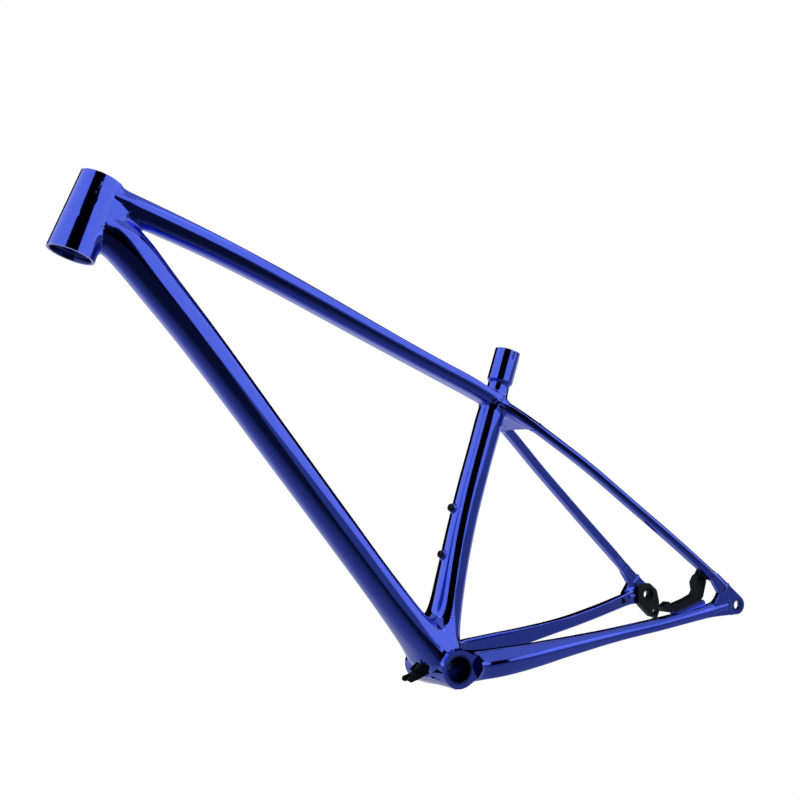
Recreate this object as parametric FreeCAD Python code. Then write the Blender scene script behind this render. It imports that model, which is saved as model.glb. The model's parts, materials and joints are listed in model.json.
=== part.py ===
import FreeCAD, Part
import math
import os
from FreeCAD import Vector

# Bicycle frame for wide tyres, 12 x 197 mm rear spacing, 100 mm threaded bottom bracket.
# Millimetres. Origin: centre of the bottom bracket. +X to the rear, +Y to the rider's right, +Z up.

# ---- driving dimensions -------------------------------------------------------------------
# Steering head
HEAD_ANGLE = 68.1             # degrees from the ground
HEAD_LENGTH = 101.4
HEAD_LOW = (-499.3, 524.3)    # x, z of the centre of the lower end
HEAD_R_LOW = 30.2
HEAD_R_HIGH = 24.4
LOWER_SEAT_R = 26.05          # 52 mm integrated lower bearing
UPPER_SEAT_R = 21.0           # 42 mm integrated upper bearing
SEAT_RING_WALL = 1.6
BEARING_DEPTH = 7.0

# Seat tube
SEAT_ANGLE = 71.0             # degrees from the ground, of the part that holds the seat post
SEAT_OFFSET = -27.5           # x where that line passes the bottom bracket's height
SEAT_LENGTH = 445.3           # from that height to the top of the collar
COLLAR_START = 397.0
POST_DEPTH_END = 225.0        # lower end of the seat post's bore, along the same line
JOINT_HALF = 18.4             # the seat tube owns its joint this far before and behind its centre line
POST_R = 13.6                 # 27.2 mm seat post
COLLAR_R = 17.6
SLOT_WIDTH = 2.5
SLOT_DEPTH = 12.5
BOSS_LOW = (26.4, 141.5)      # x, z on the seat tube's centre line level with the lower boss
BOSS_SPACING = 64.0
BOSS_LINE = 74.5              # degrees from the ground, where the tube bends towards the bracket

# Bottom bracket
SHELL_LENGTH = 100.0
SHELL_R = 24.8
SLEEVE_R = 19.5
THREAD_R = 17.0               # bore of the 1.37 inch thread

# Rear end
AXLE = (429.1, 61.6)          # x, z of the rear axle
HUB_HALF = 98.5               # half of the 197 mm hub
GUIDE_DEPTH = 3.5             # depth of the recess that guides the hub
GUIDE_R = 10.0
DROPOUT_OUT = 104.0
HANGER_IN = 95.0
HANGER_OUT = 105.0
DRIVE_OUT = 110.0
AXLE_R = 6.05
AXLE_THREAD_R = 5.4           # M12
DROPOUT_TIP_R = 13.5
DERAILLEUR_HOLE_R = 4.5       # M10
DERAILLEUR_DROP = (13.3, -26.0)  # derailleur bolt from the axle, x and z

# Brake
POST_SPACING = 74.0
POST_TILT = 31.6              # degrees, the line through both posts
POST_LOW = (-114.5, 6.5)      # lower post from the axle, x and z
POST_THREAD = 9.0             # threaded depth in each post
BRAKE_Y = -81.0               # centre of the adapter
ADAPTER_WIDTH = 14.0
M6_R = 2.6                    # bore of an M6 thread
M5_R = 2.15                   # bore of an M5 thread
INSERT_DEPTH = 9.0            # brake bolts' inserts, below the top of the rib

WALL = 2.2                    # carbon laminate
os.makedirs("parts", exist_ok=True)


# ---- helpers ------------------------------------------------------------------------------
def save(name, shape):
    """Write one node, and stop if the shape isn't a sound solid."""
    shape = shape.removeSplitter() if len(shape.Solids) == 1 else shape
    print(f"{name:26s} solids {len(shape.Solids)}  volume {shape.Volume / 1000:8.2f} cm3  "
          f"valid {shape.isValid()}")
    shape.exportStep(f"parts/{name}.step")


def largest(shape):
    """The biggest solid of a cut, without the offcuts."""
    return max(shape.Solids, key=lambda solid: solid.Volume)


def mirrored(shape):
    return shape.mirror(Vector(0, 0, 0), Vector(0, 1, 0))


def cylinder(base, direction, radius, length):
    return Part.makeCylinder(radius, length, base, direction)


def ring(base, direction, outer, inner, length):
    return cylinder(base, direction, outer, length).cut(cylinder(base, direction, inner, length))


def section(centre, along, half_width, half_height, power):
    """Closed superellipse across a tube: width lies level, height lies in the tube's own plane."""
    along = Vector(along).normalize()
    side = along.cross(Vector(0, 0, 1)).normalize()
    up = side.cross(along)
    points = []
    for step in range(20):
        angle = 2 * math.pi * step / 20
        c = math.cos(angle)
        s = math.sin(angle)
        w = math.copysign(abs(c) ** (2 / power), c) * half_width
        h = math.copysign(abs(s) ** (2 / power), s) * half_height
        points.append(centre + side * w + up * h)
    curve = Part.BSplineCurve()
    curve.interpolate(Points=points, PeriodicFlag=True)
    return Part.Wire([curve.toShape()])


def loft(stations, power, inset=0.0):
    """Solid through stations of (x, y, z, half width, half height)."""
    centres = [Vector(*station[:3]) for station in stations]
    wires = []
    for i, station in enumerate(stations):
        along = centres[min(i + 1, len(centres) - 1)] - centres[max(i - 1, 0)]
        wires.append(section(centres[i], along, station[3] - inset, station[4] - inset, power))
    return Part.makeLoft(wires, True)


def outline(points, y_low, thickness):
    """Plate whose side view is a polygon of (x, z) points, from y_low towards +Y."""
    corners = [Vector(x, y_low, z) for x, z in points]
    face = Part.Face(Part.makePolygon(corners + corners[:1]))
    return face.extrude(Vector(0, thickness, 0))


def disc(x, z, radius, y_low, thickness):
    return cylinder(Vector(x, y_low, z), Vector(0, 1, 0), radius, thickness)


def hex_socket(base, direction, across, depth):
    """Prism cut into a screw head for a hexagon key."""
    radius = across / math.sqrt(3)
    side = direction.cross(Vector(0.31, 0.9, 0.2)).normalize()
    other = direction.cross(side).normalize()
    points = []
    for step in range(6):
        angle = math.pi / 3 * step
        points.append(base + side * (radius * math.cos(angle)) + other * (radius * math.sin(angle)))
    return Part.Face(Part.makePolygon(points + points[:1])).extrude(direction * depth)


def cap_screw(seat, out, head_r, head_h, shank_r, shank_l, across):
    """Screw whose head stands on the seat and whose shank goes the other way."""
    out = Vector(out).normalize()
    screw = cylinder(seat, out, head_r, head_h).fuse(cylinder(seat, -out, shank_r, shank_l))
    return screw.cut(hex_socket(seat + out * head_h, -out, across, head_h * 0.6))


# ---- axes ---------------------------------------------------------------------------------
HEAD_UP = Vector(math.cos(math.radians(HEAD_ANGLE)), 0, math.sin(math.radians(HEAD_ANGLE)))
HEAD_BASE = Vector(HEAD_LOW[0], 0, HEAD_LOW[1])
SEAT_UP = Vector(math.cos(math.radians(SEAT_ANGLE)), 0, math.sin(math.radians(SEAT_ANGLE)))
SEAT_FRONT = Vector(-SEAT_UP.z, 0, SEAT_UP.x)
SEAT_BASE = Vector(SEAT_OFFSET, 0, 0)
SIDE = Vector(0, 1, 0)


def on_seat(distance):
    return SEAT_BASE + SEAT_UP * distance


# ---- outer shapes of the painted tubes ------------------------------------------------------
SEAT_STATIONS = ((12, 19, 43, 22), (40, 16, 36, 21.5), (76, 12, 28.5, 20.3), (113, 8, 24.3, 19.3),
                 (147, 5, 21.8, 18.7), (180, 2.6, 20.3, 18.5), (214, 1, 19.2, 18.3), (264, 0, 18.5, 18.3),
                 (316, 0, 18.3, 18.3), (360, 0, 18.2, 18.2), (COLLAR_START + 1, 0, 15.5, 15.5))


def seat_loft(stations):
    """Loft along the seat tube: (distance along, offset to the rear, half width, half depth)."""
    places = []
    for along, back, half_width, half_depth in stations:
        centre = on_seat(along) - SEAT_FRONT * back
        places.append((centre.x, 0, centre.z, half_width, half_depth))
    return loft(places, 2.1)


def seat_outer():
    """Seat tube, swept to the rear and wide at the shell, with a round collar above a short neck."""
    collar = cylinder(on_seat(COLLAR_START), SEAT_UP, COLLAR_R, SEAT_LENGTH - COLLAR_START)
    return seat_loft(SEAT_STATIONS).fuse(collar)


def down_outer(inset=0.0):
    stations = ((-484, 0, 575, 24, 25), (-440, 0, 545, 26.5, 26.5), (-361, 0, 455.7, 27, 23.8),
                (-255, 0, 322.9, 26, 22.1), (-145, 0, 182.5, 26, 21.4), (-87, 0, 109, 27, 21.4),
                (-44, 0, 54.3, 33, 21.6), (-8, 0, 6, 45, 20))
    return loft(stations, 2.5, inset)


def top_outer(inset=0.0):
    stations = ((-468, 0, 598, 20, 17), (-420, 0, 580.5, 20, 16.3), (-334, 0, 547.8, 20, 14.6),
                (-226, 0, 501, 20, 13.4), (-112, 0, 447.4, 20, 12), (9, 0, 391.4, 20.5, 10.8),
                (60, 0, 367.8, 22, 10.4), (104, 0, 344.5, 24, 10.4))
    return loft(stations, 3.2, inset)


SEATSTAY = ((133, -37, 318.5, 7.8, 6.4), (159.2, -47, 297.2, 7.8, 6.2), (193.5, -59, 269.4, 7.8, 6.2),
            (260, -75, 213.2, 7.8, 6.2), (327.6, -89.5, 156, 8, 6.2), (366, -96.5, 123, 8, 6.4),
            (389.4, -99.6, 103.2, 6, 7.2))
CHAINSTAY = ((22, -36, 1, 12, 19), (48, -44, 3, 11.5, 19), (70, -55, 6, 10, 18.6), (98, -60, 9.5, 9.2, 17.2),
             (126, -62, 13.5, 9, 15.6), (157, -63.5, 18, 9, 13.4), (188, -65.5, 22.5, 9, 11.6),
             (218, -68, 27, 9, 10), (262, -73.3, 33.8, 9, 8.6), (308, -82.6, 41.5, 9, 8.4),
             (350, -91, 49.5, 8.5, 8.6), (388, -97.5, 56.2, 7, 9.4))


def flat_section(centre, along, half_width, half_height, corner):
    """Closed flat oblong across a tube with its four corners cut off."""
    side = Vector(0, 1, 0)
    up = Vector(along).normalize().cross(side)
    near = (half_width - corner, half_height)
    far = (half_width, half_height - corner)
    quarter = (near, far)
    corners = [(w, h) for w, h in quarter] + [(w, -h) for w, h in reversed(quarter)]
    corners += [(-w, -h) for w, h in quarter] + [(-w, h) for w, h in reversed(quarter)]
    points = [centre + side * w + up * h for w, h in corners]
    return Part.makePolygon(points + points[:1])


def bridge_outer():
    """Wedge that spreads from the top tube to both seatstays behind the seat tube."""
    stations = ((98, 347.6, 24, 9.8), (118, 331.5, 34, 7.6), (134, 317.4, 44.6, 6.4))
    along = Vector(36, 0, -30.2)
    wires = [flat_section(Vector(x, 0, z), along, width, height, 3.0) for x, z, width, height in stations]
    return Part.makeLoft(wires, True, True)


# ---- head ---------------------------------------------------------------------------------
def head_outer():
    return Part.makeCone(HEAD_R_LOW, HEAD_R_HIGH, HEAD_LENGTH, HEAD_BASE, HEAD_UP)


def seat_ring(base, direction, bearing_r):
    """Alloy bearing seat: a straight wall, then a 45 degree shoulder that centres the bearing."""
    outer = bearing_r + SEAT_RING_WALL
    shoulder = 3.0
    ring_shape = cylinder(base, direction, outer, BEARING_DEPTH + shoulder)
    ring_shape = ring_shape.cut(cylinder(base, direction, bearing_r, BEARING_DEPTH))
    cone = Part.makeCone(bearing_r, bearing_r - shoulder, shoulder, base + direction * BEARING_DEPTH, direction)
    return ring_shape.cut(cone), cylinder(base, direction, outer, BEARING_DEPTH + shoulder)


HEAD_TOP = HEAD_BASE + HEAD_UP * HEAD_LENGTH
lower_seat, lower_pocket = seat_ring(HEAD_BASE, HEAD_UP, LOWER_SEAT_R)
upper_seat, upper_pocket = seat_ring(HEAD_TOP, -HEAD_UP, UPPER_SEAT_R)
head_solid = head_outer()
steerer_bore = Part.makeCone(LOWER_SEAT_R - 3.0, UPPER_SEAT_R - 3.0, HEAD_LENGTH, HEAD_BASE, HEAD_UP)
save("head_tube", head_solid.cut(steerer_bore).cut(lower_pocket).cut(upper_pocket))
save("lower_bearing_seat", lower_seat)
save("upper_bearing_seat", upper_seat)

# ---- bottom bracket --------------------------------------------------------------------------
shell_start = Vector(0, -SHELL_LENGTH / 2, 0)
shell_solid = cylinder(shell_start, SIDE, SHELL_R, SHELL_LENGTH)
save("bottom_bracket_shell", ring(shell_start, SIDE, SHELL_R, SLEEVE_R, SHELL_LENGTH))
save("bottom_bracket_sleeve", ring(shell_start, SIDE, SLEEVE_R, THREAD_R, SHELL_LENGTH))

# ---- seat tube ---------------------------------------------------------------------------------
seat_solid = seat_outer()


BOSS_UP = Vector(math.cos(math.radians(BOSS_LINE)), 0, math.sin(math.radians(BOSS_LINE)))
BOSS_OUT = Vector(-BOSS_UP.z, 0, BOSS_UP.x)
BOSS_STEPS = (0.0, BOSS_SPACING)


def boss_seat(step):
    """Point under the seat tube's front face where a bottle boss stands."""
    return Vector(BOSS_LOW[0], 0, BOSS_LOW[1]) + BOSS_UP * step + BOSS_OUT * 17.0


def seat_block(rear, front, low, high, half_width):
    """Block between two distances in front of the seat tube's centre line and two along it."""
    corner = on_seat(low) + SEAT_FRONT * rear + SIDE * half_width
    block = Part.makeBox(front - rear, half_width * 2, high - low)
    block.Placement = FreeCAD.Placement(corner, FreeCAD.Rotation(SEAT_FRONT, -SIDE, SEAT_UP, "ZXY"))
    return block


def seat_slots():
    """A narrow slot with a round end on each side of the collar."""
    half = SLOT_WIDTH / 2
    foot = SEAT_LENGTH - SLOT_DEPTH + half
    block = seat_block(-half, half, foot, SEAT_LENGTH + 5, 30)
    return block.fuse(cylinder(on_seat(foot) - SIDE * 30, SIDE, half, 60))


def joint_block(rear, front):
    """Block across the joint with the top tube."""
    return seat_block(rear, front, COLLAR_START - 150, COLLAR_START + 50, 80)


joint = joint_block(-JOINT_HALF, JOINT_HALF)
joint_web = [top_outer().common(joint), bridge_outer().common(joint)]
boss_pads = [cylinder(boss_seat(step), BOSS_OUT, 6.6, 5.0) for step in BOSS_STEPS]
boss_holes = [cylinder(boss_seat(step) - BOSS_OUT * 4.0, BOSS_OUT, 3.5, 9.0) for step in BOSS_STEPS]
post_bore = cylinder(on_seat(POST_DEPTH_END), SEAT_UP, POST_R, SEAT_LENGTH - POST_DEPTH_END)
lower_cavity = seat_loft(((28, 17.5, 35, 16), (60, 14, 28, 16), (95, 10, 21.5, 15.5), (150, 4.8, 16.5, 14.2),
                          (POST_DEPTH_END + 5, 0.4, 13.6, 13.6)))
seat_tube = seat_solid.fuse(joint_web).fuse(boss_pads)
seat_tube = seat_tube.cut(post_bore).cut(lower_cavity).cut(seat_slots()).cut(boss_holes).cut(shell_solid)
save("seat_tube", largest(seat_tube))

inserts = []
bottle_screws = []
for step in BOSS_STEPS:
    mouth = boss_seat(step) + BOSS_OUT * 5.0
    inserts.append(ring(mouth - BOSS_OUT * 8.0, BOSS_OUT, 3.5, M5_R, 8.0))
    bottle_screws.append(cap_screw(mouth, BOSS_OUT, 4.8, 3.4, M5_R - 0.01, 7.0, 4.0))
save("bottle_cage_inserts", Part.makeCompound(inserts))
save("bottle_cage_screws", Part.makeCompound(bottle_screws))

# ---- down tube and top tube ---------------------------------------------------------------------
down_solid = down_outer()
down_tube = down_solid.cut(down_outer(WALL)).cut(head_solid).cut(shell_solid).cut(seat_solid)
PORT_CENTRE = Vector(-372, 27, 470)
PORT_R = 5.5
port_plug = cylinder(PORT_CENTRE - SIDE * 8, SIDE, PORT_R, 9.5)

top_solid = top_outer()
behind_front = joint_block(-100, JOINT_HALF)
top_tube = top_solid.cut(top_outer(WALL)).cut(head_solid).cut(down_solid).cut(behind_front)
save("top_tube", largest(top_tube))

cable_port = port_plug.cut(cylinder(PORT_CENTRE - SIDE * 8, SIDE, 2.6, 9.5))
save("cable_entry_port", cable_port)

# ---- stays -----------------------------------------------------------------------------------
save("seatstay_bridge", largest(bridge_outer().common(joint_block(-100, -JOINT_HALF))))


def stay(stations, power, wall, others):
    """Hollow stay on the left, closed where it meets its neighbours."""
    shape = loft(stations, power).cut(loft(stations, power, wall))
    for other in others:
        shape = shape.cut(other)
    return largest(shape)


bridge_full = bridge_outer()
left_seatstay = stay(SEATSTAY, 2.6, 1.8, (bridge_full, top_solid))
left_chainstay = stay(CHAINSTAY, 3.0, 2.0, (shell_solid, seat_solid, down_solid))

# ---- dropouts -----------------------------------------------------------------------------------
AX, AZ = AXLE


def dropout_plate(y_low, thickness):
    """Plate between both stays, rounded about the axle."""
    corners = ((389, 47.5), (AX, AZ - DROPOUT_TIP_R), (AX + 9, AZ + 10.7), (394.5, 109), (385, 98.5),
               (398, 79), (387, 66))
    plate = outline(corners, y_low, thickness)
    plate = plate.fuse(disc(AX, AZ, DROPOUT_TIP_R, y_low, thickness))
    return plate.removeSplitter()


left_plate = dropout_plate(-DROPOUT_OUT, DROPOUT_OUT - HANGER_IN)
left_bore = disc(AX, AZ, 8.0, -DROPOUT_OUT, DROPOUT_OUT - HUB_HALF)
left_guide = disc(AX, AZ, GUIDE_R, -HUB_HALF, HUB_HALF - HANGER_IN)
save("left_dropout", largest(left_plate.cut(left_bore).cut(left_guide)))
save("left_axle_bushing", ring(Vector(AX, -DROPOUT_OUT, AZ), SIDE, 8.0, AXLE_R, DROPOUT_OUT - HUB_HALF))


def hanger_outline(y_low, thickness):
    """Replaceable hanger: a plate round the axle with a leg down to the derailleur bolt."""
    eye_x = AX + DERAILLEUR_DROP[0]
    eye_z = AZ + DERAILLEUR_DROP[1]
    corners = ((411, 49.5), (411, 75), (420, 78.5), (433, 78.5), (446, 68), (450, 52), (eye_x + 8.5, eye_z),
               (eye_x + 3, eye_z - 11), (eye_x - 8, eye_z - 8), (426, 35))
    return outline(corners, y_low, thickness)


hanger = hanger_outline(HANGER_IN, HANGER_OUT - HANGER_IN)
hanger = hanger.cut(disc(AX, AZ, GUIDE_R, HANGER_IN, GUIDE_DEPTH))
hanger = hanger.cut(disc(AX, AZ, AXLE_THREAD_R, HANGER_IN, 20))
eye = disc(AX + DERAILLEUR_DROP[0], AZ + DERAILLEUR_DROP[1], DERAILLEUR_HOLE_R, HANGER_IN, 20)
screw_places = ((417, 72), (417, 55))
screw_shanks = [disc(x, z, 2.0, HANGER_IN + 3, DRIVE_OUT - HANGER_IN) for x, z in screw_places]
hanger = largest(hanger.cut(eye).cut(screw_shanks))
save("derailleur_hanger", hanger)

right_plate = dropout_plate(100.0, DRIVE_OUT - 100.0)
pocket = hanger_outline(HANGER_IN, HANGER_OUT - HANGER_IN)
right_dropout = right_plate.cut(pocket).cut(disc(AX, AZ, 7.0, HANGER_IN, 20)).cut(screw_shanks)
screw_sinks = [disc(x, z, 3.6, DRIVE_OUT - 2.4, 5) for x, z in screw_places]
save("right_dropout", largest(right_dropout.cut(screw_sinks)))

hanger_screws = []
for x, z in screw_places:
    screw = disc(x, z, 2.0, HANGER_IN + 3.2, DRIVE_OUT - HANGER_IN - 3.2)
    screw = screw.fuse(disc(x, z, 3.5, DRIVE_OUT - 2.4, 2.2))
    hanger_screws.append(screw.cut(hex_socket(Vector(x, DRIVE_OUT + 1, z), -SIDE, 2.5, 2.6)))
save("hanger_screws", Part.makeCompound(hanger_screws))

left_seatstay = largest(left_seatstay.cut(left_plate))
left_chainstay = largest(left_chainstay.cut(left_plate))
right_seatstay = largest(mirrored(left_seatstay).cut(right_plate).cut(hanger))
right_chainstay = largest(mirrored(left_chainstay).cut(right_plate).cut(hanger))

# ---- cable and hose exits --------------------------------------------------------------------------
def grommet(centre, axis, outer, hole, inside, length):
    """Sleeve in a stay's wall, starting that far inside the centre point."""
    start = centre - axis * inside
    plug = cylinder(start, axis, outer, length)
    return plug, plug.cut(cylinder(start, axis, hole, length))


exit_plug, exit_grommet = grommet(Vector(377, 89.5, 55.5), Vector(-0.3, -0.94, 0.12).normalize(), 4.2, 2.3, 5, 6.5)
save("cable_exit_grommet", exit_grommet)
right_chainstay = largest(right_chainstay.cut(exit_plug))
save("right_chainstay", right_chainstay)
STOP_R = 3.4
stop_axis = Vector(0.99, 0, 0.14).normalize()
stop_start = Vector(393, 100 - STOP_R, 60)
save("cable_exit_stop", ring(stop_start, stop_axis, STOP_R, 2.2, 10))

hose_plug, hose_grommet = grommet(Vector(300, -80.5, 48.6), Vector(-0.15, 0.15, 0.97).normalize(), 4.6, 2.8, 5, 7.0)
save("hose_exit_grommet", hose_grommet)
left_chainstay = left_chainstay.cut(hose_plug)


def liner(points, side):
    """Thin tube along straight runs, on the left (-1) or the right (+1)."""
    places = [Vector(x, y * side, z) for x, y, z in points]
    solid = None
    hollow = None
    for start, end in zip(places, places[1:]):
        along = end - start
        run = cylinder(start, along, 2.5, along.Length)
        bore = cylinder(start, along, 1.6, along.Length)
        solid = run if solid is None else solid.fuse(run).fuse(Part.makeSphere(2.5, start))
        hollow = bore if hollow is None else hollow.fuse(bore).fuse(Part.makeSphere(1.6, start))
    return solid.cut(hollow)


DOWN_RUN = ((-366, 17, 462), (-70, 13, 88))
STAY_RUN = ((98, 60, 9.5), (218, 68, 27), (300, 81.2, 40.3))
save("shift_cable_liner", Part.makeCompound([liner(DOWN_RUN, 1), liner(STAY_RUN, 1)]))
save("brake_hose_liner", Part.makeCompound([liner(DOWN_RUN, -1), liner(STAY_RUN[:2], -1)]))

# ---- brake mount ------------------------------------------------------------------------------------
post_line = Vector(math.cos(math.radians(POST_TILT)), 0, math.sin(math.radians(POST_TILT)))
post_out = Vector(-post_line.z, 0, post_line.x)
lower_post = Vector(AX + POST_LOW[0], BRAKE_Y, AZ + POST_LOW[1])
upper_post = lower_post + post_line * POST_SPACING
RIB_START = (334, 58.2)       # x, z where the adapter's foot begins on the rib
RIB_SLOPE = 0.3
RIB_Y = (-92.0, -77.0)


def rib_height(x):
    return RIB_START[1] + RIB_SLOPE * (x - RIB_START[0])


rib = outline(((330, 46), (330, 56.8), RIB_START, (377.5, rib_height(377.5)), (381, 68), (381, 54)),
              RIB_Y[0], RIB_Y[1] - RIB_Y[0])
stay_outer = loft(CHAINSTAY, 3.0)
rib = largest(rib.cut(stay_outer))
rib_axis = Vector(-RIB_SLOPE, 0, 1).normalize()
rib_bolts = [Vector(x, BRAKE_Y - 1.5, rib_height(x)) for x in (342, 361)]
insert_holes = [cylinder(top - rib_axis * INSERT_DEPTH, rib_axis, 4.0, INSERT_DEPTH) for top in rib_bolts]
save("brake_mount_boss", largest(rib.cut(insert_holes)))
save("brake_mount_inserts", Part.makeCompound([ring(top - rib_axis * INSERT_DEPTH, rib_axis, 4.0, M6_R,
                                                    INSERT_DEPTH) for top in rib_bolts]))
save("left_chainstay", largest(left_chainstay.cut(insert_holes)))
save("right_seatstay", right_seatstay)


def adapter():
    """Bent bar from the lower post along the rib and up to the upper post."""
    half = 6.5
    lower_ends = [lower_post + post_line * step for step in (-half, half)]
    upper_ends = [upper_post + post_line * step for step in (-half, half)]
    corners = [(c.x, c.z) for c in lower_ends]
    corners += [(323, 66.8), (335, 68.4), (351, 72.8), (366, 78.5), (369.5, 84), (367.5, 95)]
    corners += [(c.x, c.z) for c in upper_ends]
    corners += [(387, 96), (381, 75.5), (377.5, rib_height(377.5)), RIB_START, (321, 56.5), (313.5, 58)]
    return outline(corners, BRAKE_Y - ADAPTER_WIDTH / 2, ADAPTER_WIDTH)


post_holes = [cylinder(post - post_out * POST_THREAD, post_out, M6_R, 20) for post in (lower_post, upper_post)]
fixing_holes = []
fixing_bolts = []
for top in rib_bolts:
    fixing_holes.append(cylinder(top - rib_axis, rib_axis, 3.3, 30))
    fixing_holes.append(cylinder(top + rib_axis * 4, rib_axis, 5.4, 30))
    fixing_bolts.append(cap_screw(top + rib_axis * 4, rib_axis, 5.0, 4.5, M6_R - 0.01, 12, 5.0))
save("brake_adapter", largest(adapter().cut(post_holes).cut(fixing_holes)))
save("brake_adapter_bolts", Part.makeCompound(fixing_bolts))

# ---- pad that braces the adapter against the seatstay ---------------------------------------------------
stay_dir = Vector(0.79, 0, -0.61).normalize()
stay_under = Vector(stay_dir.z, 0, -stay_dir.x)
pad_foot = Vector(379, -93, 111.6) + stay_under * 6.0
pad_corners = [pad_foot + stay_dir * a + stay_under * b for a, b in ((-9, -4), (9, -4), (9, 3.2), (-9, 3.2))]
pad = outline([(c.x, c.z) for c in pad_corners], -98.0, 10.0)
pad_screw_hole = cylinder(pad_foot - stay_under * 4, stay_under, 2.0, 12)
seatstay_outer = loft(SEATSTAY, 2.6)
pad = largest(pad.cut(seatstay_outer).cut(pad_screw_hole))
save("brake_brace_pad", pad)
save("brake_brace_screw", cap_screw(pad_foot + stay_under * 3.2, stay_under, 3.4, 2.4, 1.99, 7.0, 3.0))
save("left_seatstay", largest(left_seatstay.cut(pad_screw_hole)))

# ---- cable guide under the down tube ------------------------------------------------------------------------
NEAR_CHEEK = ((-32.7, 3.6), (-20, 0), (-22, -9), (-35.5, -14.5), (-47.2, -18), (-52.9, -14.7), (-50, -10.8),
              (-44.5, -4.2))
FAR_CHEEK = ((-31.9, 5.5), (-41.4, -2.1), (-38, -6), (-45, -8.5), (-52.2, -10.4), (-53.7, -15.2),
             (-49.6, -17.5), (-35, -14), (-22, -9), (-20, 0))
WEB = ((-32.7, 3.6), (-20, 0), (-22, -9), (-35.5, -13.5), (-38, -9), (-37, -2))
guide = outline(NEAR_CHEEK, -6, 3).fuse(outline(FAR_CHEEK, 6, 3)).fuse(outline(WEB, -6, 15))
guide_out = Vector(-0.8, 0, -0.6)
guide_face = Vector(-37.6, 1.5, -5.6)
guide_hole = cylinder(guide_face - guide_out * 18, guide_out, 2.15, 30)
guide_seat = cylinder(guide_face - guide_out * 4, guide_out, 4.6, 20)
guide_clear = guide_hole.fuse(guide_seat)
save("cable_guide", largest(guide.cut(down_solid).cut(shell_solid).cut(guide_clear)))
save("cable_guide_screw", cap_screw(guide_face - guide_out * 4, guide_out, 4.2, 3.0, 2.1, 9.0, 4.0))
save("down_tube", largest(down_tube.cut(port_plug).cut(guide_hole)))
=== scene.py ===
import json
import math

import bmesh
import bpy
import numpy as np
from mathutils import Matrix, Vector


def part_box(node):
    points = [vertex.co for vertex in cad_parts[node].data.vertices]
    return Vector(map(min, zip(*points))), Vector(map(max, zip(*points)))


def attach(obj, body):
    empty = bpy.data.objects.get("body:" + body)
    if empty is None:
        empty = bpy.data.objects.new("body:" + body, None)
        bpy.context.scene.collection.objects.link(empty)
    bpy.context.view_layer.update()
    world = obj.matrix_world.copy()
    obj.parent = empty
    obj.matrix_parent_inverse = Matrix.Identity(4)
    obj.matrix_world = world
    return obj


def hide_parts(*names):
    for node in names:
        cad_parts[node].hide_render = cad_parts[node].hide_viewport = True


# Carbon bicycle frame with a candy blue finish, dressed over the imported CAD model.
# Shapes are worked out in millimetres, and turned into metres where a mesh is made.
# +X is the rear, +Y the rider's right, +Z up. The painted skin is one smooth surface, so
# neighbouring tubes run into each other as laid-up carbon does, and it is cut into one
# closed piece per CAD tube.

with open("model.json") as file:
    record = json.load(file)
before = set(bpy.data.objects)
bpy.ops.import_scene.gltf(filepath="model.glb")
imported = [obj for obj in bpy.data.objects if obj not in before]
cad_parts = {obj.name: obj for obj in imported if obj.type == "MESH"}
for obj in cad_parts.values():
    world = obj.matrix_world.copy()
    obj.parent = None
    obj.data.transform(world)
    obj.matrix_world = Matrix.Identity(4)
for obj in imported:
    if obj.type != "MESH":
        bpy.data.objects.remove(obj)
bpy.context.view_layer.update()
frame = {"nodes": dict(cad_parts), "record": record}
MM = 0.001
MOUNTS = {mount["name"]: mount for mount in frame["record"]["mounts"]}


def unit(vector):
    vector = np.array(vector, float)
    return vector / np.linalg.norm(vector)


def place(name):
    """Middle of a mount of the record, in millimetres."""
    return np.array(MOUNTS[name]["pos_m"], float) / MM


def mouth(name):
    """Where a bore of the record comes out, in millimetres."""
    return place(name) + unit(MOUNTS[name]["axis"]) * MOUNTS[name]["dims"]["length_mm"] / 2


def cad_box(node):
    low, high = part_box(node)
    return np.array(low) / MM, np.array(high) / MM


# ---- driving points, from the frame ---------------------------------------------------------
RIGHT = np.array([0.0, 1.0, 0.0])
LEFT = -RIGHT
HEAD_LOW = mouth("lower_headset")
HEAD_HIGH = mouth("upper_headset")
HEAD_UP = unit(HEAD_HIGH - HEAD_LOW)
HEAD_BACK = np.cross(RIGHT, HEAD_UP)
HEAD_LENGTH = float(np.linalg.norm(HEAD_HIGH - HEAD_LOW))
SEAT_TOP = mouth("seatpost")
SEAT_UP = unit(MOUNTS["seatpost"]["axis"])
SEAT_BACK = np.cross(RIGHT, SEAT_UP)
SEAT_FOOT = SEAT_TOP - SEAT_UP * SEAT_TOP[2] / SEAT_UP[2]
SEAT_LENGTH = float(np.linalg.norm(SEAT_TOP - SEAT_FOOT))
BRACKET = np.zeros(3)
SHELL_HALF = cad_box("bottom_bracket_shell")[1][1]
SHELL_RADIUS = cad_box("bottom_bracket_shell")[1][2]
SLEEVE_RADIUS = cad_box("bottom_bracket_sleeve")[1][2]
AXLE = place("rear_axle_left") * np.array([1.0, 0.0, 1.0])


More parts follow.
